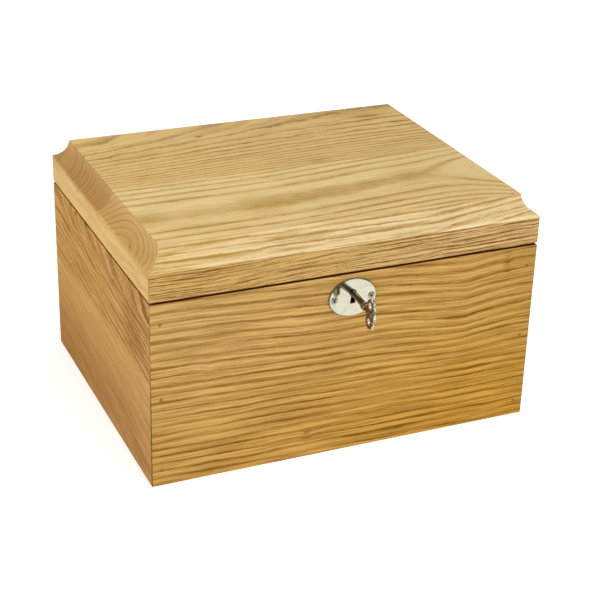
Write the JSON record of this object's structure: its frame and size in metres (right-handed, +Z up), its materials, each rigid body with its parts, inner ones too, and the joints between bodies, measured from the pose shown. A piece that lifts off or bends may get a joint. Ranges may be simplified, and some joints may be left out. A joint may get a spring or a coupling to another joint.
{
  "type": "lockable wooden money box",
  "caption": "Lockable wooden box for money or keepsakes, with mitred walls, a hinged lid with a coved top, and a box lock with its key.",
  "frame": {"origin": "centre of the underside, on the face that the box rests on", "axes": "+X to the right along the front, +Y from the front to the back, +Z up"},
  "size_m": [0.3, 0.2831, 0.18],
  "materials": {
    "ash_wood": "satin varnish",
    "lid_ash": "satin varnish",
    "plywood": "bare",
    "nickel": "polished nickel plate",
    "steel": "plain",
    "key_metal": "worn nickel plate over brass"
  },
  "bodies": {
    "box": {"back_wall": "ash_wood", "bottom_panel": "plywood", "escutcheon_plate": "nickel", "escutcheon_screw_left": "nickel", "escutcheon_screw_right": "nickel", "front_wall": "ash_wood", "hinge_leaf_body_left": "nickel", "hinge_leaf_body_right": "nickel", "hinge_pin_left": "nickel", "hinge_pin_right": "nickel", "hinge_screw_body_left_inner": "nickel", "hinge_screw_body_left_outer": "nickel", "hinge_screw_body_right_inner": "nickel", "hinge_screw_body_right_outer": "nickel", "left_wall": "ash_wood", "lock_cap": "nickel", "lock_cap_screw_left": "nickel", "lock_cap_screw_right": "nickel", "lock_case": "steel", "lock_screw_left": "nickel", "lock_screw_right": "nickel", "pin_back_left_high": "steel", "pin_back_left_low": "steel", "pin_back_left_middle": "steel", "pin_back_right_high": "steel", "pin_back_right_low": "steel", "pin_back_right_middle": "steel", "pin_front_left_high": "steel", "pin_front_left_low": "steel", "pin_front_left_middle": "steel", "pin_front_right_high": "steel", "pin_front_right_low": "steel", "pin_front_right_middle": "steel", "right_wall": "ash_wood"},
    "lid": {"hinge_leaf_lid_left": "nickel", "hinge_leaf_lid_right": "nickel", "hinge_screw_lid_left_inner": "nickel", "hinge_screw_lid_left_outer": "nickel", "hinge_screw_lid_right_inner": "nickel", "hinge_screw_lid_right_outer": "nickel", "lid_board": "lid_ash", "lid_rail_back": "lid_ash", "lid_rail_front": "lid_ash", "lid_rail_left": "lid_ash", "lid_rail_right": "lid_ash", "lid_strike": "nickel", "strike_screw_left": "nickel", "strike_screw_right": "nickel"},
    "key": {"key": "key_metal"},
    "bolt": {"lock_bolt": "steel", "bolt_spring": "nickel"}
  },
  "joints": [
    {"name": "lid_hinge", "type": "hinge", "parent": "box", "child": "lid", "pos_m": [0, 0.1228, 0.1429], "axis": [-1, 0, 0], "range_deg": [0, 95]},
    {"name": "key_turn", "type": "hinge", "parent": "box", "child": "key", "pos_m": [0, -0.1213, 0.128], "axis": [0, 0.9954, 0.0958], "range_deg": [0, 360]},
    {"name": "bolt_throw", "type": "slide", "parent": "box", "child": "bolt", "axis": [1, 0, 0], "range_m": [0, 0.004]}
  ],
  "couplings": [
    {"joint": "bolt_throw", "follows": "key_turn", "m_per_rad": 0.00063662}
  ]
}
